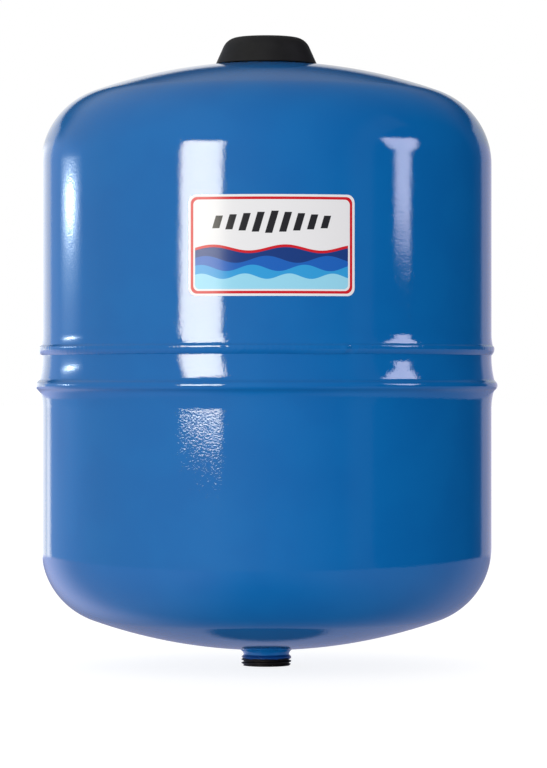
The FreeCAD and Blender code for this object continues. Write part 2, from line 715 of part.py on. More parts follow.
def protective_cap():
    """A moulded cover on the dome. An inner skirt plugs into the recess, and ribs stiffen it."""
    inner_swing = "(cover_corner_radius - cover_wall)"
    inner_base_r = "cover_base_radius - cover_wall / cover_lean_r"
    body = turned_piece("protective_cap", [
        ("0", "cover_ceiling_z"),
        ("0", "cover_top_z"),
        ("cover_top_radius", "cover_top_z"),
        ("cover_top_radius + cover_corner_radius * cover_lean_r",
         "cover_corner_z + cover_corner_radius * cover_lean_z", "cover_top_radius", "cover_corner_z"),
        ("cover_base_radius", "cover_base_z"),
        (inner_base_r, "cover_base_z"),
        ("cover_top_radius + %s * cover_lean_r" % inner_swing,
         "cover_corner_z + %s * cover_lean_z" % inner_swing),
        ("cover_top_radius", "cover_ceiling_z", "cover_top_radius", "cover_corner_z"),
    ])
    skirt = new_sketch(body, "skirt_section")
    draw(skirt, [
        ("skirt_radius", "cover_ceiling_z + rib_bite"),
        ("skirt_radius", "skirt_low_z + skirt_chamfer"),
        ("skirt_radius - skirt_chamfer", "skirt_low_z"),
        ("skirt_bore_radius", "skirt_low_z"),
        ("skirt_bore_radius", "cover_ceiling_z + rib_bite"),
    ])
    spin(body, skirt, "skirt")
    side = new_sketch(body, "rib_outline")
    half_step = Rotation(Vector(0, 1, 0), 180 / value("rib_count"))
    side.AttachmentOffset = Placement(Vector(), half_step)
    side_slope = "cover_lean_z / cover_lean_r"
    mid_corner = "(cover_corner_radius - cover_wall / 2) / sqrt(2)"
    rib_out = "%s + (rib_low_z - cover_base_z) * -%s + rib_bite" % (inner_base_r, side_slope)
    draw(side, [
        ("skirt_radius - rib_bite", "rib_low_z"),
        (rib_out, "rib_low_z"),
        ("cover_top_radius + %s * cover_lean_r + rib_bite" % inner_swing,
         "cover_corner_z + %s * cover_lean_z" % inner_swing),
        ("cover_top_radius + " + mid_corner, "cover_corner_z + " + mid_corner),
        ("skirt_radius - rib_bite", "cover_ceiling_z + rib_bite"),
    ])
    rib = body.newObject("PartDesign::Pad", "rib")
    rib.Profile = side
    rib.Midplane = True
    rib.setExpression("Length", bound("rib_width"))
    around("ribs", "rib_count", body, rib)


def label():
    """A thin sheet bent round the upper half, with rounded corners."""
    body = new_piece("label")
    section = new_sketch(body, "label_section")
    draw(section, [
        ("label_r", "label_z - label_height / 2"),
        ("label_r + label_thickness", "label_z - label_height / 2"),
        ("label_r + label_thickness", "label_z + label_height / 2"),
        ("label_r", "label_z + label_height / 2"),
    ])
    sheet_of_film = spin(body, section, "label_sheet")
    sheet_of_film.Midplane = True
    sheet_of_film.setExpression("Angle", bound("label_angle"))
    doc.recompute()
    corners = ["Edge%d" % number for number, edge in enumerate(sheet_of_film.Shape.Edges, 1)
               if edge.Length < 2 * value("label_thickness")]
    rounded = body.newObject("PartDesign::Fillet", "label_corners")
    rounded.Base = (sheet_of_film, corners)
    rounded.setExpression("Radius", bound("label_corner_radius"))
    body.Placement.Rotation = Rotation(Vector(0, 0, 1), value("label_turn"))
    body.setExpression("Placement.Rotation.Angle", bound("label_turn"))


drawn_shells()
girth_weld()
water_liner()
diaphragm()
clamp_ring()
connection()
valve_mounting()
valve_core()
dust_cap()
protective_cap()
label()
doc.recompute()

for item in doc.Objects:
    if "Invalid" in item.State or "Error" in item.State:
        raise RuntimeError("%s did not build: %s" % (item.Name, item.State))
for body in pieces:
    if body.Shape.isNull() or not body.Shape.isValid() or body.Shape.Volume <= 0:
        raise RuntimeError("%s has no sound solid" % body.Label)

os.makedirs("parts", exist_ok=True)
for body in pieces:
    body.Shape.exportStep("parts/%s.step" % body.Label)
    box = body.Shape.BoundBox
    print("%-20s %d solid %12.2f mm3  z %.2f to %.2f  r %.2f"
          % (body.Label, len(body.Shape.Solids), body.Shape.Volume, box.ZMin, box.ZMax, box.XMax))
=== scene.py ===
import math

import bmesh
import bpy
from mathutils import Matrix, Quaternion, Vector, noise


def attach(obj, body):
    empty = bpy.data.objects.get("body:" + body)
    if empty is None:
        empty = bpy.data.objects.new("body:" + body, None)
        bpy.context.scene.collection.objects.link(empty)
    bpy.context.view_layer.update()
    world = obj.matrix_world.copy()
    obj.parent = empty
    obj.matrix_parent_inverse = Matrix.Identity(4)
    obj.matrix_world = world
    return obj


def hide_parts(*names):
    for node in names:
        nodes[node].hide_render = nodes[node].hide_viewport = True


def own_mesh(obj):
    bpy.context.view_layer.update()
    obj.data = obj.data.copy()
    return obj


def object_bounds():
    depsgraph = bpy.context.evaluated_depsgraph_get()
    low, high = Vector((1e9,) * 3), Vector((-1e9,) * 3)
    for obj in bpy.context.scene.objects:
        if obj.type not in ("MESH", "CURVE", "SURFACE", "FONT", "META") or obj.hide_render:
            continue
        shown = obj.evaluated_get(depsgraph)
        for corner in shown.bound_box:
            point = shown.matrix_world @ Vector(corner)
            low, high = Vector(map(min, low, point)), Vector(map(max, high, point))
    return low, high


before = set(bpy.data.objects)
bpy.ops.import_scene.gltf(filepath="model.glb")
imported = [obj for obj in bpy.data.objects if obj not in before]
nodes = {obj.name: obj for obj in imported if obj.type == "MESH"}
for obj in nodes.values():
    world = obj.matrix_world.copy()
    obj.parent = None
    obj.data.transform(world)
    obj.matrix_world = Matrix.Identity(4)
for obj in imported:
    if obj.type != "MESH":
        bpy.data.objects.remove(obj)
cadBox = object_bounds()
mm = 0.001

# Sizes of the tank in millimetres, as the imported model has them.
tank = {
    "bodyRadius": 150.0, "crownRadius": 345.0, "knuckle": 51.0, "wall": 1.2,
    "lowerApex": 10.8, "upperApex": 401.8, "lip": 209.0, "rim": 197.0,
    "joggleTop": 212.0, "neckRadius": 148.7,
    "bead": 186.3, "beadHeight": 4.0, "beadCurve": 4.5, "beadRoot": 2.5,
    "floor": 389.8, "recessRadius": 24.0, "recessCurve": 4.0, "valveHole": 5.2,
    "nippleHole": 16.3,
}


class Wire:
    # one output of a shader node: sums written on it add Math nodes
    def __init__(self, board, socket):
        self.board = board
        self.socket = socket

    def math(self, operation, *others):
        return self.board.math(operation, self, *others)

    def __add__(self, other):
        return self.math("ADD", other)

    def __radd__(self, other):
        return self.board.math("ADD", other, self)

    def __sub__(self, other):
        return self.math("SUBTRACT", other)

    def __rsub__(self, other):
        return self.board.math("SUBTRACT", other, self)

    def __mul__(self, other):
        return self.math("MULTIPLY", other)

    def __rmul__(self, other):
        return self.board.math("MULTIPLY", other, self)

    def __truediv__(self, other):
        return self.math("DIVIDE", other)

    def __rtruediv__(self, other):
        return self.board.math("DIVIDE", other, self)

    def __neg__(self):
        return self.math("MULTIPLY", -1.0)

    def __abs__(self):
        return self.math("ABSOLUTE")

    def root(self):
        return self.math("SQRT")

    def atMost(self, other):
        return self.math("MINIMUM", other)

    def atLeast(self, other):
        return self.math("MAXIMUM", other)

    def step(self, low, high):
        # 0 up to low, 1 from high on, and a smooth rise between them
        return self.board.node("ShaderNodeMapRange", {"interpolation_type": "SMOOTHSTEP"},
                               {"Value": self, "From Min": low, "From Max": high})

    def between(self, rise, fall):
        # 1 between two soft edges, each given as (low, high), and 0 outside them
        return self.step(*rise) * (1 - self.step(*fall))


class Board:
    # a node tree that is being wired
    def __init__(self, tree):
        self.tree = tree

    def node(self, kind, settings=None, sockets=None, output=0):
        made = self.tree.nodes.new(kind)
        for name, value in (settings or {}).items():
            setattr(made, name, value)
        for name, value in (sockets or {}).items():
            self.feed(made.inputs[name], value)
        return Wire(self, made.outputs[output]) if len(made.outputs) else None

    def feed(self, socket, value):
        if isinstance(value, Wire):
            self.tree.links.new(value.socket, socket)
        else:
            socket.default_value = value

    def math(self, operation, *parts):
        return self.node("ShaderNodeMath", {"operation": operation}, dict(enumerate(parts)))

    def place(self):
        return self.node("ShaderNodeTexCoord", output="Object")

    def xyz(self, vector):
        split = self.node("ShaderNodeSeparateXYZ", sockets={"Vector": vector}).socket.node
        return [Wire(self, socket) for socket in split.outputs]

    def grain(self, size, detail=1.0):
        # noise from 0 to 1 whose lumps are about size millimetres across
        return self.node("ShaderNodeTexNoise", {"noise_dimensions": "3D"},
                         {"Vector": self.place(), "Scale": 1.0 / (size * mm), "Detail": detail})

    def mix(self, mask, first, second):
        # a Mix node has its colours on sockets 6 and 7, and its mixed colour on output 2
        sockets = {"Factor": mask, 6: self.colour(first), 7: self.colour(second)}
        return self.node("ShaderNodeMix", {"data_type": "RGBA"}, sockets, output=2)

    def dim(self, colour, level):
        # a colour times a level
        return self.node("ShaderNodeVectorMath", {"operation": "SCALE"}, {0: colour, "Scale": level})

    def colour(self, value):
        return value if isinstance(value, Wire) else (*value, 1.0)


class Finish(Board):
    # a material with one Principled shader; heights of its relief are in millimetres
    def __init__(self, name, **fixed):
        self.material = bpy.data.materials.new(name)
        self.material.use_nodes = True
        super().__init__(self.material.node_tree)
        self.tree.nodes.clear()
        surface = self.node("ShaderNodeBsdfPrincipled")
        self.shader = surface.socket.node
        self.node("ShaderNodeOutputMaterial", sockets={"Surface": surface})
        self.set(**fixed)

    def set(self, **values):
        for name, value in values.items():
            self.feed(self.shader.inputs[name.replace("_", " ")], value)

    def relief(self, height):
        self.set(Normal=self.node("ShaderNodeBump", sockets={"Distance": mm, "Height": height}))


# Blue powder coat: glossy, with the small cells of orange peel that break up the edges of reflections.
paint = {
    "colour": (0.0038, 0.1395, 0.425), "shade": (0.0036, 0.131, 0.410), "specular": 0.5,
    "cloud": 38.0, "cloudStep": (0.35, 0.65),
    "gloss": 0.04, "glossSpread": 0.02, "glossPatch": 14.0,
    "peelCell": 1.15, "peelHeight": 0.036, "waveCell": 9.0, "waveHeight": 0.014,
}


def paintRelief(board):
    return (board.grain(paint["peelCell"]) * paint["peelHeight"]
            + board.grain(paint["waveCell"]) * paint["waveHeight"])


def bluePaint():
    made = Finish("bluePaint", Specular_IOR_Level=paint["specular"])
    cloud = made.grain(paint["cloud"], detail=2.0).step(*paint["cloudStep"])
    patches = made.grain(paint["glossPatch"], detail=2.0) * paint["glossSpread"]
    made.set(Base_Color=made.mix(cloud, paint["colour"], paint["shade"]),
             Roughness=patches + (paint["gloss"] - paint["glossSpread"] / 2))
    made.relief(paintRelief(made))
    return made.material


# The nipple: dark bare steel on the thread, and paint down to a ragged line on its upper turns.
thread = {
    "steel": (0.016, 0.015, 0.015), "rust": (0.030, 0.021, 0.016), "rustCell": 1.4, "rustStep": (0.45, 0.7),
    "paint": (0.0045, 0.060, 0.250), "paintEdge": 5.0, "edgeBlur": 0.25, "ragged": 1.0, "raggedCell": 4.0,
    "metal": 0.6, "roughness": 0.46, "paintSmoother": 0.34, "roughCell": 0.8, "roughSpread": 0.12,
    "pitCell": 0.5, "pitHeight": 0.03,
}


def threadSteel():
    made = Finish("threadSteel")
    up = made.xyz(made.place())[2] / mm
    edge = up + (made.grain(thread["raggedCell"], detail=2.0) - 0.5) * thread["ragged"] * 2
    painted = edge.step(thread["paintEdge"] - thread["edgeBlur"], thread["paintEdge"] + thread["edgeBlur"])
    rusty = made.grain(thread["rustCell"], detail=3.0).step(*thread["rustStep"])
    steel = made.mix(rusty, thread["steel"], thread["rust"])
    uneven = made.grain(thread["roughCell"], detail=3.0) * thread["roughSpread"]
    pits = made.grain(thread["pitCell"], detail=3.0) * (1 - painted) * thread["pitHeight"]
    made.set(Base_Color=made.mix(painted, steel, thread["paint"]),
             Metallic=(1 - painted) * thread["metal"],
             Roughness=thread["roughness"] - painted * thread["paintSmoother"] + uneven)
    made.relief(paintRelief(made) * painted + pits)
    return made.material


# Moulded plastic or rubber: fine spark texture, faint flow marks, uneven gloss.
# The flow marks and the gloss are so many cells of the texture across.
moulding = {
    "flowCells": 22, "flowStep": (0.3, 0.7), "paler": 1.22, "palerBase": 0.001,
    "glossCells": 9, "glossSpread": 0.12,
}


def moulded(name, colour, roughness, cell, height, **fixed):
    made = Finish(name, **fixed)
    flow = made.grain(cell * moulding["flowCells"], detail=2.0).step(*moulding["flowStep"])
    pale = [part * moulding["paler"] + moulding["palerBase"] for part in colour]
    uneven = made.grain(cell * moulding["glossCells"], detail=2.0) * moulding["glossSpread"]
    made.set(Base_Color=made.mix(flow, colour, pale),
             Roughness=uneven + (roughness - moulding["glossSpread"] / 2))
    made.relief(made.grain(cell, detail=2.0) * height)
    return made.material


# Lathe-turned or plated metal: fine rings up the axis, cloudy tone, small marks.
turning = {
    "ringPitch": 0.12, "ringHeight": 0.0012, "markCell": 0.7, "markHeight": 0.004,
    "cloudCell": 3.0, "cloudStep": (0.42, 0.72), "glossSpread": 0.16,
}


def turnedMetal(name, colour, worn, roughness):
    made = Finish(name, Metallic=1.0)
    x, y, up = made.xyz(made.place())
    away = (x * x + y * y).root()
    rings = ((up + away) * (math.tau / turning["ringPitch"] / mm)).math("SINE")
    cloud = made.grain(turning["cloudCell"], detail=3.0)
    made.set(Base_Color=made.mix(cloud.step(*turning["cloudStep"]), colour, worn),
             Roughness=cloud * turning["glossSpread"] + (roughness - turning["glossSpread"] / 2))
    marks = made.grain(turning["markCell"], detail=2.0) * turning["markHeight"]
    made.relief(rings * turning["ringHeight"] + marks)
    return made.material


# Meshes. An outline is a list of (radius, height) points in millimetres, walked round once.
meshing = {"joinWithin": 0.0005, "creaseAngle": 35.0}


def arc(centre, radius, start, end, stepAngle=3.0):
    # points on an arc; angles in degrees from the outward radius, turning up
    count = max(2, round(abs(end - start) / stepAngle))
    angles = [math.radians(start + (end - start) * index / count) for index in range(count + 1)]
    return [(centre[0] + radius * math.cos(a), centre[1] + radius * math.sin(a)) for a in angles]


def sweep(start, tilt, bends):
    # arcs that run on from each other: each bend is (radius, last tilt, step), with a hollow one below zero
    points = [start]
    for radius, last, stepAngle in bends:
        turn = math.radians(tilt)
        centre = (points[-1][0] - radius * math.cos(turn), points[-1][1] - radius * math.sin(turn))
        points += arc(centre, radius, tilt, last, stepAngle)[1:]
        tilt = last
    return points


def line(start, end, count):
    # the points that part a straight run into count pieces, without its ends
    return [(start[0] + (end[0] - start[0]) * i / count, start[1] + (end[1] - start[1]) * i / count)
            for i in range(1, count)]


def solid(name, points, faces, material):
    mesh = bpy.data.meshes.new(name)
    mesh.from_pydata([(x * mm, y * mm, z * mm) for x, y, z in points], [], faces)
    work = bmesh.new()
    work.from_mesh(mesh)
    bmesh.ops.remove_doubles(work, verts=work.verts, dist=meshing["joinWithin"] * mm)
    bmesh.ops.recalc_face_normals(work, faces=work.faces)
    work.to_mesh(mesh)
    work.free()
    mesh.validate()
    made = bpy.data.objects.new(name, mesh)
    bpy.context.scene.collection.objects.link(made)
    mesh.materials.append(material)
    mesh.shade_smooth()
    mesh.set_sharp_from_angle(angle=math.radians(meshing["creaseAngle"]))
    return made


def spun(outline, segments, shape=None):
    # turn a closed outline about the axis; shape may move each point by its angle
    points = []
    for index in range(segments):
        angle = math.tau * index / segments
        for radius, height in outline:
            if shape:
                radius, height = shape(radius, height, angle)
            points.append((radius * math.sin(angle), -radius * math.cos(angle), height))
    size = len(outline)
    faces = []
    for index in range(segments):
        here = index * size
        after = (index + 1) % segments * size
        for spot in range(size):
            nextSpot = (spot + 1) % size
            faces.append((here + spot, here + nextSpot, after + nextSpot, after + spot))
    return points, faces


def turned(name, outline, segments, material, shape=None):
    points, faces = spun(outline, segments, shape)
    return solid(name, points, faces, material)


def crownAngle(radius, reach):
    return math.degrees(math.asin(reach / radius))


def headArcs(depth, sign, apex, startReach):
    # a torispherical head from its middle out: crown, then knuckle; sign is 1 on top and -1 below
    crown = tank["crownRadius"] - depth
    knuckleAxis = tank["bodyRadius"] - tank["knuckle"]
    centre = apex - sign * tank["crownRadius"]
    meet = crownAngle(tank["crownRadius"] - tank["knuckle"], knuckleAxis)
    start = crownAngle(crown, startReach)
    tangent = centre + sign * (tank["crownRadius"] - tank["knuckle"]) * math.cos(math.radians(meet))
    crownPart = arc((0, centre), crown, sign * (90 - start), sign * (90 - meet), stepAngle=1.0)
    knucklePart = arc((knuckleAxis, tangent), tank["knuckle"] - depth, sign * (90 - meet), 0, stepAngle=2.0)
    return crownPart + knucklePart[1:]


def ringSpot(angle, radius):
    # a place on a ring through the noise, so that what is read there meets itself after a whole turn
    return Vector((math.cos(angle) * radius, math.sin(angle) * radius, 0))


# The outside of the wall flares a little towards the weld.
upperShell = {
    "segments": 288, "flareTop": 220.5, "flare": 32.8, "flareTilt": 14.1, "flareStep": 0.7, "wallSteps": 6,
    "roundStep": 9.0,
}


def makeUpperShell(material):
    def face(depth, foot):
        hole = (tank["valveHole"], tank["floor"] - depth)
        curve, roundStep = tank["recessCurve"], upperShell["roundStep"]
        cornerAxis = (tank["recessRadius"] - curve, tank["floor"] + curve)
        corner = arc(cornerAxis, curve + depth, -90, 0, roundStep)
        shoulder = tank["recessRadius"] + curve
        lift = tank["upperApex"] - tank["crownRadius"]
        tilt = crownAngle(tank["crownRadius"] - curve, shoulder)
        rise = lift + (tank["crownRadius"] - curve) * math.cos(math.radians(tilt))
        rounding = arc((shoulder, rise), curve - depth, 180, 90 - tilt, roundStep)
        head = headArcs(depth, 1, tank["upperApex"],
                        (tank["crownRadius"] - depth) * math.sin(math.radians(tilt)))
        wall = tank["bodyRadius"] - depth
        neck = tank["neckRadius"] - depth
        plain = line(head[-1], foot[0], upperShell["wallSteps"])
        return ([hole] + corner + rounding + head[1:] + plain + foot
                + [(wall, tank["joggleTop"]), (neck, tank["lip"]), (neck, tank["rim"])])

    flare = sweep((tank["bodyRadius"], upperShell["flareTop"]), 0.0,
                  [(-upperShell["flare"], upperShell["flareTilt"], upperShell["flareStep"])])
    inner = [(tank["bodyRadius"] - tank["wall"], upperShell["flareTop"])]
    outline = face(0, flare) + face(tank["wall"], inner)[::-1]
    made = turned("upperShell", outline, upperShell["segments"], material)
    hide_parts("upper_shell")
    return made


# The bead as the paint shows it: a crest, then on each side a root and a long lead where the wall flares.
lowerShell = {
    "segments": 288, "crestAt": 186.6, "crest": 3.6, "flank": 50.0, "leadTilt": 13.5,
    "highLead": 62.0, "lowLead": 42.0, "lipTilt": -3.25,
    "bendStep": 6.0, "leadStep": 0.7, "insideStep": 7.0, "wallSteps": 6,
}


def makeLowerShell(material):
    wall = tank["bodyRadius"]
    crest, flank, leadTilt = lowerShell["crest"], lowerShell["flank"], lowerShell["leadTilt"]
    beadTop = (wall + tank["beadHeight"], lowerShell["crestAt"])
    flankCosine = math.cos(math.radians(flank))
    leadCosine = math.cos(math.radians(leadTilt))

    def side(lead, sign, lastTilt):
        # from the crest: the root that lets the lead run out in the plain wall, and then the lead
        drop = tank["beadHeight"] - crest * (1 - flankCosine) - lead * (1 - leadCosine)
        root = drop / (leadCosine - flankCosine)
        return sweep(beadTop, 0.0, [(crest, sign * flank, lowerShell["bendStep"]),
                                    (-root, sign * leadTilt, lowerShell["bendStep"]),
                                    (-lead, lastTilt, lowerShell["leadStep"])])

    def inside():
        axis = wall + tank["beadHeight"] - tank["beadCurve"]
        rootAxis = wall + tank["beadRoot"]
        apart = tank["beadCurve"] + tank["beadRoot"]
        swing = math.degrees(math.acos((rootAxis - axis) / apart))
        rise = apart * math.sin(math.radians(swing))
        root = tank["beadRoot"] + tank["wall"]
        step = lowerShell["insideStep"]
        lowRoot = arc((rootAxis, tank["bead"] - rise), root, 180, 180 - swing, step)
        crestPart = arc((axis, tank["bead"]), tank["beadCurve"] - tank["wall"], -swing, swing, step)
        highRoot = arc((rootAxis, tank["bead"] + rise), root, 180 + swing, 180, step)
        return lowRoot + crestPart[1:-1] + highRoot

    def face(depth, bead):
        head = headArcs(depth, -1, tank["lowerApex"], tank["nippleHole"])
        return head + line(head[-1], bead[0], lowerShell["wallSteps"]) + bead + [(bead[-1][0], tank["lip"])]

    below = side(lowerShell["lowLead"], -1, 0.0)
    above = side(lowerShell["highLead"], 1, lowerShell["lipTilt"])
    outline = face(0, below[::-1] + above[1:]) + face(tank["wall"], inside())[::-1]
    made = turned("lowerShell", outline, lowerShell["segments"], material)
    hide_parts("lower_shell")
    return made


# The weld round the middle: a low crown with small ripples, a wandering foot, and a lump and a crater where
# it stopped.
girthWeld = {
    "segments": 1440, "crestRadius": 151.9, "crestAt": 211.0, "backStep": 0.2, "skin": 0.01,
    "lowBend": 6.0, "lowTilt": -53.0, "lowStep": 6.0, "topBend": 4.0, "topTilt": 12.0, "topStep": 3.0,
    "cornerBend": 1.2, "cornerTilt": 50.0, "cornerStep": 8.0,
    "hollow": 2.0, "hollowTilt": 14.0, "hollowStep": 9.0,
    "noiseRing": 9,
    "ripple": 0.045, "ripples": 250, "bow": 2.4, "bowTall": 2.7, "drift": 6, "driftScale": 2,
    "rough": 0.05, "coarseScale": 6, "fineScale": 17, "fineShare": 0.6,
    "wander": 0.30, "wanderScale": 3.1, "looseness": 1.2, "topFade": 2.0,
    "lumpAngle": 19.3, "lumpWide": 0.8, "lumpRise": 0.55,
    "craterGap": 1.9, "craterWide": 0.8, "craterDeep": 0.45,
    "sagAngle": 12.5, "sagWide": 7.0, "sag": 0.5, "sagBulge": 0.5,
}


def makeGirthWeld(material):
    top = (girthWeld["crestRadius"], girthWeld["crestAt"])
    below = sweep(top, 0.0, [(girthWeld["lowBend"], girthWeld["lowTilt"], girthWeld["lowStep"])])
    above = sweep(top, 0.0, [(girthWeld["topBend"], girthWeld["topTilt"], girthWeld["topStep"]),
                             (girthWeld["cornerBend"], girthWeld["cornerTilt"], girthWeld["cornerStep"]),
                             (-girthWeld["hollow"], girthWeld["hollowTilt"], girthWeld["hollowStep"])])
    crown = below[::-1] + above[1:]
    back = [(tank["bodyRadius"], tank["joggleTop"]), (tank["neckRadius"], tank["lip"]),
            (tank["bodyRadius"] - girthWeld["backStep"], tank["lip"])]
    foot, head = crown[0][1], crown[-1][1]

    def bell(angle, at, wide):
        return math.exp(-((math.degrees(angle) - at) / wide) ** 2)

    def shape(radius, height, angle):
        if radius < tank["bodyRadius"] + girthWeld["skin"]:
            return radius, height
        share = min(1.0, (head - height) / girthWeld["topFade"])
        belly = math.sin(math.pi * min(1.0, max(0.0, (height - foot) / (head - foot))))
        spot = ringSpot(angle, girthWeld["noiseRing"])
        fine = noise.noise(spot * girthWeld["fineScale"]) * girthWeld["fineShare"]
        rough = (noise.noise(spot * girthWeld["coarseScale"]) + fine) * girthWeld["rough"]
        bow = ((height - girthWeld["crestAt"]) / girthWeld["bowTall"]) ** 2 * girthWeld["bow"]
        drift = noise.noise(spot * girthWeld["driftScale"]) * girthWeld["drift"]
        ripple = math.cos(girthWeld["ripples"] * angle + bow + drift) * girthWeld["ripple"]
        lump = bell(angle, girthWeld["lumpAngle"], girthWeld["lumpWide"]) * girthWeld["lumpRise"]
        crater = bell(angle, girthWeld["lumpAngle"] + girthWeld["craterGap"], girthWeld["craterWide"])
        crater *= girthWeld["craterDeep"]
        sag = bell(angle, girthWeld["sagAngle"], girthWeld["sagWide"]) * girthWeld["sag"]
        wander = noise.noise(spot * girthWeld["wanderScale"]) * girthWeld["wander"]
        radius += belly * (ripple + rough + lump - crater + sag * girthWeld["sagBulge"])
        height += share * (girthWeld["looseness"] - belly) * (wander - sag)
        return radius, height

    made = turned("girthWeld", crown + back, girthWeld["segments"], material, shape)
    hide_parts("girth_weld")
    return made


# The nipple's shape: a thread of 11 turns to the inch that fades out towards the neck, and a groove on top.
nipple = {
    "segments": 192, "stepUp": 0.12, "skin": 0.001,
    "crest": 16.62, "root": 15.14, "pitch": 2.309, "chamfer": 1.2, "threadEnd": 6.0, "fade": 1.6,
    "rootShare": 1 / 6, "flankSlope": 1.5, "straight": 0.45, "rounded": 0.55,
    "neck": 15.15, "shank": 16.2, "shankLow": 9.6, "shankSlope": 0.6, "top": 12.0,
    "bore": 12.5, "leadIn": 0.6, "grooveOut": 15.66, "grooveIn": 13.46, "grooveFloor": 10.46,
}


def threadShare(height, angle):
    # 1 on a crest and 0 in a root, with straight flanks rounded off at both
    turn = (height / nipple["pitch"] - angle / math.tau) % 1.0
    ridge = min(1.0, max(0.0, (abs(2 * turn - 1) - nipple["rootShare"]) * nipple["flankSlope"]))
    return ridge * nipple["straight"] + (ridge * ridge * (3 - 2 * ridge)) * nipple["rounded"]


def makeNipple(material):
    crest, end, neck = nipple["crest"], nipple["threadEnd"], nipple["neck"]
    count = round(end / nipple["stepUp"])
    rises = [end * i / count for i in range(count + 1)]
    face = [(min(crest, crest - nipple["chamfer"] + rise), rise) for rise in rises]
    inner = [(neck, end + crest - neck), (neck, nipple["shankLow"]),
             (nipple["shank"], nipple["shankLow"] + nipple["shankSlope"]),
             (nipple["shank"], nipple["top"]), (nipple["grooveOut"], nipple["top"]),
             (nipple["grooveOut"], nipple["grooveFloor"]), (nipple["grooveIn"], nipple["grooveFloor"]),
             (nipple["grooveIn"], nipple["top"]), (nipple["bore"], nipple["top"]),
             (nipple["bore"], nipple["leadIn"]), (nipple["bore"] + nipple["leadIn"], 0.0)]
    depth = crest - nipple["root"]
    footRadius = crest - nipple["chamfer"]

    def shape(radius, height, angle):
        if height > end or radius < footRadius - nipple["skin"]:
            return radius, height
        fade = min(1.0, (end - height) / nipple["fade"])
        cut = crest - depth * (1 - threadShare(height, angle)) * fade
        return min(radius, cut), height

    made = turned("connectionNipple", face + inner, nipple["segments"], material, shape)
    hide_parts("connection_nipple")
    return made


# The weld round the nipple: a hollow fillet with slow ripples.
nippleWeld = {
    "segments": 240, "edge": 20.4, "rise": 4.1, "flankStep": 5.0, "skin": 0.05, "noiseRing": 3,
    "ripples": 44, "ripple": 0.09, "drift": 5, "rough": 0.25, "roughScale": 2.2, "spread": 0.5,
}


def makeNippleWeld(material):
    edge, rise, neck = nippleWeld["edge"], nippleWeld["rise"], nipple["neck"]
    leg = edge - neck
    centre = tank["lowerApex"] + tank["crownRadius"]

    def dome(reach):
        return centre - math.sqrt(tank["crownRadius"] ** 2 - reach * reach)

    quarter = arc((0.0, 0.0), 1.0, 0.0, 90.0, nippleWeld["flankStep"])
    flank = [(neck + leg * (1 - cosine), dome(edge) - rise * (1 - sine)) for cosine, sine in quarter]
    back = [(neck, dome(neck))]

    def shape(radius, height, angle):
        if radius <= neck + nippleWeld["skin"] or radius >= edge - nippleWeld["skin"]:
            return radius, height
        share = math.sin(math.pi * (radius - neck) / leg)
        spot = ringSpot(angle, nippleWeld["noiseRing"])
        drift = noise.noise(spot) * nippleWeld["drift"]
        wave = math.cos(nippleWeld["ripples"] * angle + drift) * nippleWeld["ripple"]
        rough = noise.noise(spot * nippleWeld["roughScale"]) * nippleWeld["rough"]
        swell = (wave + rough) * share
        return radius + swell * nippleWeld["spread"], height - swell

    made = turned("nippleWeld", flank + back, nippleWeld["segments"], material, shape)
    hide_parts("nipple_weld")
    return made


# The cover over the valve: a shell with a skirt and ribs inside, and a small gate mark on top.
cover = {
    "segments": 192, "top": 418.6, "topRadius": 18.7, "topSteps": 4, "corner": 11.0,
    "base": 400.686, "baseRadius": 33.8, "wall": 2.0, "edgeRound": 0.35,
    "skirtOut": 23.7, "skirtIn": 22.2, "skirtLow": 393.3, "skirtChamfer": 0.5,
    "ribs": 6, "ribWide": 1.2, "ribLow": 408.6, "ribMiddle": 45, "bite": 0.4,
    "gateRadius": 1.6, "gateSlope": 0.4, "gateDeep": 0.35,
}


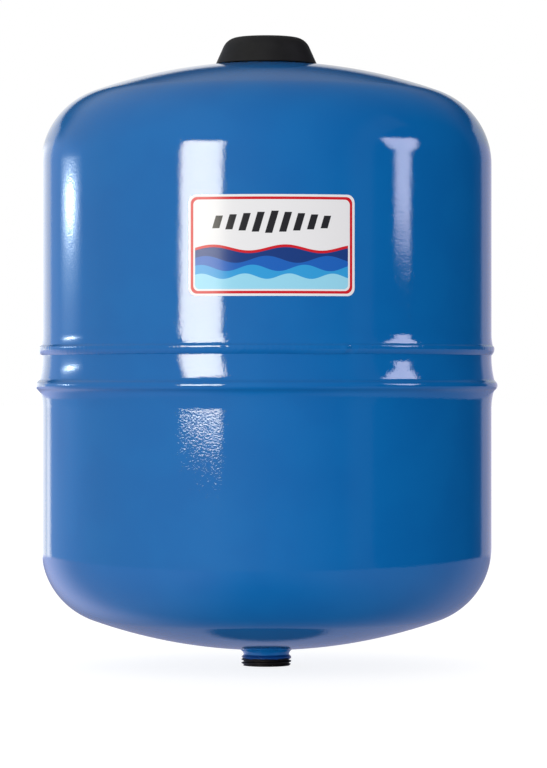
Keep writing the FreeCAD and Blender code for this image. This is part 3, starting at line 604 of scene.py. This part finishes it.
def makeCover(material):
    top, corner, wall, base = cover["top"], cover["corner"], cover["wall"], cover["base"]
    skirtOut, skirtIn, edge = cover["skirtOut"], cover["skirtIn"], cover["edgeRound"]
    axis = (cover["topRadius"], top - corner)
    out, down = cover["baseRadius"] - axis[0], axis[1] - base
    run = math.sqrt(out * out + down * down - corner * corner)
    lean = math.degrees(math.atan2(run * out - corner * down, corner * out + run * down))
    leanCosine, leanSlope = math.cos(math.radians(lean)), math.tan(math.radians(lean))
    innerBase = cover["baseRadius"] - wall / leanCosine
    hollow = corner - wall

    def meet(reach):
        # where the inner corner passes a radius, as an angle
        return math.degrees(math.acos((reach - axis[0]) / hollow))

    gate, gateFloor = cover["gateRadius"], top - cover["gateDeep"]
    outside = [(0.0, gateFloor), (gate - cover["gateSlope"], gateFloor), (gate, top)]
    outside += line((gate, top), (axis[0], top), cover["topSteps"]) + arc(axis, corner, 90, lean)
    outside += [(cover["baseRadius"] - edge * leanSlope, base + edge), (cover["baseRadius"] - edge, base)]
    inside = [(innerBase + edge, base), (innerBase - edge * leanSlope, base + edge)]
    inside += arc(axis, hollow, lean, meet(skirtOut))
    inside += [(skirtOut, cover["skirtLow"] + cover["skirtChamfer"]),
               (skirtOut - cover["skirtChamfer"], cover["skirtLow"]), (skirtIn, cover["skirtLow"])]
    inside += arc(axis, hollow, meet(skirtIn), 90) + [(0.0, top - wall)]
    points, faces = spun(outside + inside, cover["segments"])

    def inWall(angle):
        turn = math.radians(angle)
        middle = corner - wall / 2
        return axis[0] + middle * math.cos(turn), axis[1] + middle * math.sin(turn)

    ribOut = innerBase - (cover["ribLow"] - base) * leanSlope + cover["bite"]
    ribIn = skirtOut - cover["bite"]
    profile = [(ribIn, cover["ribLow"]), (ribOut, cover["ribLow"]),
               inWall(lean), inWall(cover["ribMiddle"]), inWall(meet(ribIn))]
    size = len(profile)
    for rib in range(cover["ribs"]):
        turn = math.tau * (rib + 0.5) / cover["ribs"]
        first = len(points)
        for shift in (-cover["ribWide"] / 2, cover["ribWide"] / 2):
            for radius, height in profile:
                points.append((radius * math.sin(turn) + shift * math.cos(turn),
                               shift * math.sin(turn) - radius * math.cos(turn), height))
        faces.append(range(first, first + size))
        faces.append(range(first + 2 * size - 1, first + size - 1, -1))
        for spot in range(size):
            after = (spot + 1) % size
            faces.append((first + after, first + spot, first + size + spot, first + size + after))
    made = solid("valveCover", points, faces, material)
    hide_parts("protective_cap")
    return made


# The label: a generic printed film. White with a red keyline, slanted grey bars above and waves below.
label = {
    "height": 64.0, "arc": 107.0, "shift": 3.8, "middle": 275.015, "corner": 5.0,
    "gap": 0.05, "thickness": 0.15, "columns": 72, "cornerSteps": 12, "halfSteps": 5,
    "specular": 0.15, "gloss": 0.20, "glossSpread": 0.06, "glossPatch": 6.0, "peelShare": 0.35,
    "white": (0.80, 0.80, 0.80), "red": (0.62, 0.012, 0.022), "grey": (0.022, 0.022, 0.026),
    "edge": 0.10, "keyIn": 1.5, "keyWide": 1.7, "fieldIn": 4.4,
    "barCount": 9, "barPitch": 8.6, "barWide": 4.6, "barLean": 0.30, "barMiddle": 14.6, "barTall": 7.0,
    "barFall": 0.75,
    "waves": [
        # height of the line, swing, length of the wave, its start, colour
        (-1.5, 1.9, 46.0, 0.4, (0.62, 0.012, 0.022)),
        (-3.2, 1.9, 46.0, 0.4, (0.010, 0.045, 0.210)),
        (-9.0, 2.2, 39.0, 2.1, (0.012, 0.120, 0.480)),
        (-14.4, 2.0, 33.0, 3.9, (0.030, 0.330, 0.680)),
        (-19.6, 1.7, 28.0, 5.4, (0.300, 0.660, 0.820)),
    ],
}


def labelFilm():
    made = Finish("labelFilm", Specular_IOR_Level=label["specular"])
    x, y, z = made.xyz(made.place())
    reach = tank["bodyRadius"] + label["gap"] + label["thickness"]
    across = x.math("ARCTAN2", -y) * reach - label["shift"]
    up = z / mm - label["middle"]

    def inside(distance):
        return (0.5 - distance / label["edge"]).atLeast(0.0).atMost(1.0)

    def roundBox(wide, tall, corner):
        right = (abs(across) - (wide - corner)).atLeast(0.0)
        above = (abs(up) - (tall - corner)).atLeast(0.0)
        return (right * right + above * above).root() - corner

    def inset(depth):
        return roundBox(label["arc"] / 2 - depth, label["height"] / 2 - depth, label["corner"] - depth / 2)

    key = inside(inset(label["keyIn"])) - inside(inset(label["keyIn"] + label["keyWide"]))
    field = inside(inset(label["fieldIn"]))
    shade = made.mix(key, label["white"], label["red"])
    lean = across - (up - label["barMiddle"]) * label["barLean"]
    number = (lean / label["barPitch"]).math("ROUND")
    tall = label["barTall"] - abs(number) * label["barFall"]
    nearMiddle = inside(abs(number) - label["barCount"] / 2)
    slot = abs(lean - number * label["barPitch"]) - label["barWide"] / 2
    bar = slot.atLeast(abs(up - label["barMiddle"]) - tall)
    shade = made.mix(inside(bar) * nearMiddle, shade, label["grey"])
    for height, swing, length, start, colour in label["waves"]:
        wave = (across * (math.tau / length) + start).math("SINE") * swing + height
        shade = made.mix(inside(up - wave) * field, shade, colour)
    patches = made.grain(label["glossPatch"], detail=2.0) * label["glossSpread"]
    made.set(Base_Color=shade, Roughness=patches + (label["gloss"] - label["glossSpread"] / 2))
    made.relief(paintRelief(made) * label["peelShare"])
    return made.material


def makeLabel(material):
    # a thin sheet bent round the body, with rounded corners
    half, wide, corner = label["height"] / 2, label["arc"] / 2, label["corner"]
    columns, bends, straights = label["columns"], label["cornerSteps"], label["halfSteps"]
    ends = [-half + corner - corner * math.cos(math.pi / 2 * index / bends) for index in range(bends + 1)]
    middle = [(corner - half) * (1 - index / straights) for index in range(1, 2 * straights)]
    rows = ends + middle + [-up for up in ends[::-1]]
    under = tank["bodyRadius"] + label["gap"]
    points = []
    for reach in (under, under + label["thickness"]):
        for up in rows:
            past = max(0.0, abs(up) - (half - corner))
            side = wide - corner + math.sqrt(corner * corner - past * past)
            for column in range(columns + 1):
                turn = (side * (2 * column / columns - 1) + label["shift"]) / tank["bodyRadius"]
                points.append((reach * math.sin(turn), -reach * math.cos(turn), label["middle"] + up))
    layer = len(rows) * (columns + 1)
    faces = []
    for row in range(len(rows) - 1):
        for column in range(columns):
            a = row * (columns + 1) + column
            b, c, d = a + 1, a + columns + 2, a + columns + 1
            faces.append((a + layer, b + layer, c + layer, d + layer))
            faces.append((d, c, b, a))
    ring = list(range(columns + 1))
    ring += [row * (columns + 1) + columns for row in range(1, len(rows))]
    ring += [(len(rows) - 1) * (columns + 1) + column for column in range(columns - 1, -1, -1)]
    ring += [row * (columns + 1) for row in range(len(rows) - 2, 0, -1)]
    for index, here in enumerate(ring):
        after = ring[(index + 1) % len(ring)]
        faces.append((here, after, after + layer, here + layer))
    made = solid("labelFilm", points, faces, material)
    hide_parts("label")
    return made


# The spring in the valve's core: a round wire along a helix.
spring = {
    "coil": 1.2, "wire": 0.2, "turns": 5, "low": 401.03, "top": 406.77, "press": 1.2,
    "steps": 28, "sides": 12,
}


def makeSpring(material):
    coil, wire, steps, sides = spring["coil"], spring["wire"], spring["steps"], spring["sides"]
    tall = spring["top"] - spring["low"]
    count = spring["turns"] * steps
    points = []
    for index in range(count + 1):
        angle = math.tau * index / steps
        out = Vector((math.cos(angle), math.sin(angle), 0.0))
        run = Vector((-math.sin(angle) * coil, math.cos(angle) * coil, tall / spring["turns"] / math.tau))
        rise = out.cross(run).normalized()
        middle = out * coil + Vector((0.0, 0.0, spring["low"] + tall * index / count))
        for side in range(sides):
            turn = math.tau * side / sides
            points.append(middle + (out * math.cos(turn) + rise * math.sin(turn)) * wire)
    faces = [range(sides), range(count * sides + sides - 1, count * sides - 1, -1)]
    for here in range(0, count * sides, sides):
        for side in range(sides):
            after = (side + 1) % sides
            faces.append((here + side, here + after, here + sides + after, here + sides + side))
    made = solid("valveSpring", points, faces, material)
    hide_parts("valve_core_spring")
    return made


def flattenSpring(piece):
    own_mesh(piece)


coat = bluePaint()
blackPlastic = moulded("blackPlastic", (0.0115, 0.0115, 0.0125), roughness=0.55, cell=0.55, height=0.010,
                       Specular_IOR_Level=0.18)
stainless = turnedMetal("stainless", (0.58, 0.57, 0.55), worn=(0.48, 0.47, 0.45), roughness=0.24)
print("finishes: paint, black plastic and stainless steel")

valveSpring = makeSpring(stainless)
shown = [
    # piece, body it moves with, slot of the record
    (makeUpperShell(coat), "tank", "blue_enamel"),
    (makeLowerShell(coat), "tank", "blue_enamel"),
    (makeGirthWeld(coat), "tank", "blue_enamel"),
    (makeNippleWeld(coat), "tank", "blue_enamel"),
    (makeNipple(threadSteel()), "tank", "bare_steel"),
    (makeLabel(labelFilm()), "tank", "label_film"),
    (makeCover(blackPlastic), "cover", "black_plastic"),
    (valveSpring, "tank", "stainless_steel"),
]
for piece, bodyName, slotName in shown:
    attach(piece, bodyName)
flattenSpring(valveSpring)
print("meshes: shells, welds, nipple, label, cover and spring")

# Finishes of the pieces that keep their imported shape.
brass = turnedMetal("brass", (0.62, 0.42, 0.15), worn=(0.50, 0.32, 0.12), roughness=0.26)
zinc = turnedMetal("zincPlate", (0.52, 0.54, 0.56), worn=(0.40, 0.42, 0.46), roughness=0.30)
rubber = moulded("blackRubber", (0.012, 0.012, 0.012), roughness=0.68, cell=0.8, height=0.012,
                 Sheen_Weight=0.05)
linerPlastic = moulded("linerPlastic", (0.62, 0.61, 0.56), roughness=0.42, cell=1.0, height=0.006)
waxySeal = moulded("waxySeal", (0.72, 0.72, 0.70), roughness=0.36, cell=0.5, height=0.004)
dressing = {
    "valve_cap": blackPlastic, "valve_cap_seal": rubber,
    "valve_body": brass, "valve_core_body": brass, "valve_core_pin": brass,
    "valve_core_seal": waxySeal, "valve_core_poppet": rubber,
    "valve_nut": zinc, "valve_washer": zinc, "clamp_ring": zinc, "valve_gasket": rubber,
    "water_liner": linerPlastic, "diaphragm": rubber, "port_o_ring": rubber, "port_sleeve": stainless,
}
for nodeName, finish in dressing.items():
    for slot in nodes[nodeName].material_slots:
        slot.material = finish
print("finishes: %d packed pieces" % len(dressing))

# The studio: a pale floor, softboxes round the tank, and pale surroundings.
# The floor's sizes are in millimetres.
studio = {
    "floorSize": 60000.0, "floorGap": 0.02, "floorCloud": 900.0,
    "floorColour": (0.25, 0.25, 0.25), "floorShade": 0.985, "floorGlow": 0.86,
    "floorSpecular": 0.2, "floorRoughness": 0.9,
}


def makeFloor():
    made = Finish("paleFloor", Specular_IOR_Level=studio["floorSpecular"],
                  Roughness=studio["floorRoughness"], Emission_Strength=studio["floorGlow"],
                  Emission_Color=(1.0, 1.0, 1.0, 1.0))
    colour = studio["floorColour"]
    shade = [part * studio["floorShade"] for part in colour]
    made.set(Base_Color=made.mix(made.grain(studio["floorCloud"]), colour, shade))
    half = studio["floorSize"] / 2
    low = cadBox[0].z / mm - studio["floorGap"]
    corners = [(-half, -half, low), (half, -half, low), (half, half, low), (-half, half, low)]
    floor = solid("floor", corners, [(0, 1, 2, 3)], made.material)
    floor.visible_glossy = False
    floor.visible_diffuse = False


# Masks of the softboxes, from where they are lit: across and up run from -1 to 1.
masks = {
    "sheetFall": 0.12,
    "bowlTall": 1.3, "bowlEdge": (0.93, 0.98), "stemEdge": (0.39, 0.43), "stemFoot": (-0.71, -0.65),
    "sparkWide": 11.0, "sparkTall": 650.0,
}


def plainSheet(across, up):
    return 1 - across * across * masks["sheetFall"]


def goblet(across, up):
    # a stem that fades downwards under a half round bowl
    down = (up - 1) / masks["bowlTall"]
    bowl = 1 - (across * across + down * down).step(*masks["bowlEdge"])
    stem = (1 - abs(across).step(*masks["stemEdge"])) * up.step(*masks["stemFoot"])
    return bowl.atLeast(stem)


def spark(across, up):
    # a small hot core with a long faint glow
    wide, tall = across * across, up * up
    return (1 - wide) * (1 - tall) / (wide * masks["sparkWide"] + tall * masks["sparkTall"] + 1.0)


softboxes = [
    # name, degrees from the front to the right, distance, lowest, highest, width, degrees of lean,
    # glow, tint, mask; lengths are in metres
    ("mainLeft", -30.9, 1.50, 0.158, 0.815, 0.54, 2.9, 19.5, (1.0, 0.96, 0.82), plainSheet),
    ("mainRight", 70.0, 1.48, 0.220, 0.905, 0.57, 5.0, 9.0, (0.88, 0.84, 1.0), goblet),
    ("farLeft", -113.0, 1.44, 0.036, 0.700, 0.54, 0.0, 42.0, (0.82, 1.0, 1.15), spark),
]


def makeSoftbox(name, azimuth, distance, low, high, width, lean, glow, tint, mask):
    lamp = bpy.data.lights.new(name, "AREA")
    lamp.shape = "RECTANGLE"
    lamp.size = width
    lamp.size_y = high - low
    lamp.energy = glow * math.pi * width * (high - low)
    lamp.use_nodes = True
    board = Board(lamp.node_tree)
    across, up = board.xyz(board.node("ShaderNodeNewGeometry", output="Parametric"))[:2]
    emission = next(node for node in lamp.node_tree.nodes if node.type == "EMISSION")
    board.feed(emission.inputs["Color"], board.dim(tint, mask(across * 2 - 1, up * 2 - 1)))
    made = bpy.data.objects.new(name, lamp)
    turn = math.radians(azimuth)
    spot = Vector((math.sin(turn) * distance, -math.cos(turn) * distance, (low + high) / 2))
    made.location = spot
    facing = Vector((-spot.x, -spot.y, 0.0)).to_track_quat("-Z", "Y")
    made.rotation_euler = (facing @ Quaternion((0.0, 0.0, 1.0), math.radians(-lean))).to_euler()
    made.visible_camera = False
    made.visible_diffuse = False
    bpy.context.scene.collection.objects.link(made)


# What stands round the tank, as the paint mirrors it: x is right, y is back and z is up, a level of 1 is
# white, and a pair holds the two ends of a soft edge.
room = {
    "white": (1.0, 1.0, 1.0), "violet": (0.97, 0.92, 1.16), "blue": (1.0, 1.4, 2.4), "seam": (-0.02, 0.02),
    "side": 0.28, "sideSlope": 0.36, "leftSlope": 0.16, "sideMost": 0.52,
    "band": 0.12, "bandFrom": (0.60, 0.74), "bandTo": (0.81, 0.83),
    "wallFrom": (0.775, 0.815), "wallTop": (0.275, 0.305), "wallLeft": 1.5, "wallRight": 0.48,
    "wallNear": 0.55, "wallFar": (0.80, 0.98),
    "shoulder": 0.50, "shoulderLean": 0.3, "shoulderFrom": (0.0, 0.05), "shoulderRight": 0.70,
    "strip": 1.2, "stripFrom": (0.80, 0.815), "stripTo": (0.850, 0.875),
    "gap": 0.85, "gapFrom": (0.18, 0.30), "gapTo": (0.35, 0.54), "gapBack": (0.60, 0.80),
    "floorLine": 0.24, "floorBlur": 0.01, "floorLean": 0.18, "floorTint": (1.0, 1.0, 1.45),
    "floorNear": 0.06, "floorFar": 0.12, "farEdge": (-0.85, -0.42),
    "floorLeft": 0.47, "leftEdge": (0.05, 0.70),
    "floorRight": 0.17, "rightEdge": (0.10, 0.80), "floorBack": 0.13, "backEdge": (0.30, 0.80),
    "floorCorner": 0.40, "cornerLeft": (0.15, 0.50), "cornerBack": (0.40, 0.80),
    "lensUp": -0.55, "lensWide": 0.07, "lensTall": 0.13, "lensDark": 0.90,
    "lensEdge": (0.9, 1.1), "lensBack": (0.0, 0.02),
    "blueBack": (0.0, 0.5), "blueTop": (0.1, 0.4),
    "fill": 0.580, "fillRight": 0.545, "fillRightEdge": (0.15, 0.95), "fillBack": 0.935,
    "fillBelow": 0.32, "fillBelowEdge": (0.45, 0.95), "fillAbove": 0.85, "fillAboveEdge": (0.3, 0.95),
    "fillTint": (0.92, 0.84, 1.0), "fillTintEdge": (0.2, 1.0),
}


def makeSurroundings():
    world = bpy.data.worlds.new("surroundings")
    bpy.context.scene.world = world
    world.use_nodes = True
    world.cycles.sampling_method = "NONE"
    board = Board(world.node_tree)
    board.tree.nodes.clear()
    right, back, up = board.xyz(board.node("ShaderNodeTexCoord", output="Generated"))
    onRight = right.step(*room["seam"])

    leftMore = (right * -room["leftSlope"]).atLeast(0.0)
    side = (right * -room["sideSlope"] + room["side"]).atLeast(0.0) + leftMore
    gap = up.between(room["gapFrom"], room["gapTo"]) * back.step(*room["gapBack"])
    side = side.atMost(room["sideMost"]) * (1 - gap * room["gap"])
    front = 1 - back.step(*room["seam"])
    band = right.between(room["bandFrom"], room["bandTo"]) * front * room["band"]
    strip = back.between(room["stripFrom"], room["stripTo"]) * (1 - up.step(*room["seam"]))
    leftWall = ((back.step(*room["wallFar"]) * (1 - room["wallNear"]) + room["wallNear"]) * room["wallLeft"]
                + strip * room["strip"])
    lowWall = leftWall * (1 - onRight) + onRight * room["wallRight"]
    highWall = (up + room["shoulder"]) * (1 - onRight * (1 - room["shoulderRight"]))
    shoulder = (up - abs(right) * room["shoulderLean"]).step(*room["shoulderFrom"])
    wallLevel = lowWall * (1 - shoulder) + highWall * shoulder
    isWall = back.step(*room["wallFrom"]) * (1 - up.step(*room["wallTop"]))
    aboveFloor = side + band + isWall * wallLevel

    corner = (-right).step(*room["cornerLeft"]) * back.step(*room["cornerBack"])
    floorLevel = (up.step(*room["farEdge"]) * room["floorFar"]
                  + (-right).step(*room["leftEdge"]) * room["floorLeft"]
                  + right.step(*room["rightEdge"]) * room["floorRight"]
                  + back.step(*room["backEdge"]) * room["floorBack"]
                  + corner * room["floorCorner"] + room["floorNear"])
    isFloor = (back * room["floorLean"] - up).step(room["floorLine"] - room["floorBlur"],
                                                   room["floorLine"] + room["floorBlur"])
    acrossLens = right / room["lensWide"]
    upLens = (up - room["lensUp"]) / room["lensTall"]
    outsideLens = (acrossLens * acrossLens + upLens * upLens).step(*room["lensEdge"])
    lens = (1 - outsideLens) * back.step(*room["lensBack"])
    level = (aboveFloor * (1 - isFloor) + floorLevel * isFloor) * (1 - lens * room["lensDark"])

    isBlue = back.step(*room["blueBack"]) * (1 - isWall) * (1 - up.step(*room["blueTop"])) * (1 - isFloor)
    tint = board.mix(onRight * (1 - shoulder), room["white"], room["violet"])
    tint = board.mix(isFloor, board.mix(isBlue, tint, room["blue"]), room["floorTint"])
    mirrored = board.dim(tint, level)
    fillTint = board.mix(right.step(*room["fillTintEdge"]), room["white"], room["fillTint"])
    fillLevel = (room["fill"] - right.step(*room["fillRightEdge"]) * room["fillRight"]
                 + abs(back) * room["fillBack"])
    fillLevel = fillLevel * (1 - (-up).step(*room["fillBelowEdge"]) * (1 - room["fillBelow"]))
    fillLevel = fillLevel * (1 - up.step(*room["fillAboveEdge"]) * (1 - room["fillAbove"]))
    isGlossy = board.node("ShaderNodeLightPath", output="Is Glossy Ray")
    isCamera = board.node("ShaderNodeLightPath", output="Is Camera Ray")
    lit = board.mix(isGlossy, board.dim(fillTint, fillLevel), mirrored)
    seen = board.mix(isCamera, lit, room["white"])
    background = board.node("ShaderNodeBackground", sockets={"Color": seen})
    board.node("ShaderNodeOutputWorld", sockets={"Surface": background})


# The camera stands level in front of the tank; its lens and sensor are in millimetres, the rest in metres.
view = {"lens": 182.7, "sensor": 36.0, "clipEnd": 90.0, "place": (0.0048, -2.6, 0.1876)}


def makeCamera():
    lens = bpy.data.cameras.new("camera")
    lens.lens = view["lens"]
    lens.sensor_width = view["sensor"]
    lens.clip_end = view["clipEnd"]
    made = bpy.data.objects.new("camera", lens)
    made.location = view["place"]
    made.rotation_euler = (math.pi / 2, 0.0, 0.0)
    bpy.context.scene.collection.objects.link(made)
    bpy.context.scene.camera = made


makeFloor()
for row in softboxes:
    makeSoftbox(*row)
makeSurroundings()
makeCamera()
bpy.context.scene.view_settings.view_transform = "Standard"
print("studio: floor, %d softboxes, surroundings and camera" % len(softboxes))
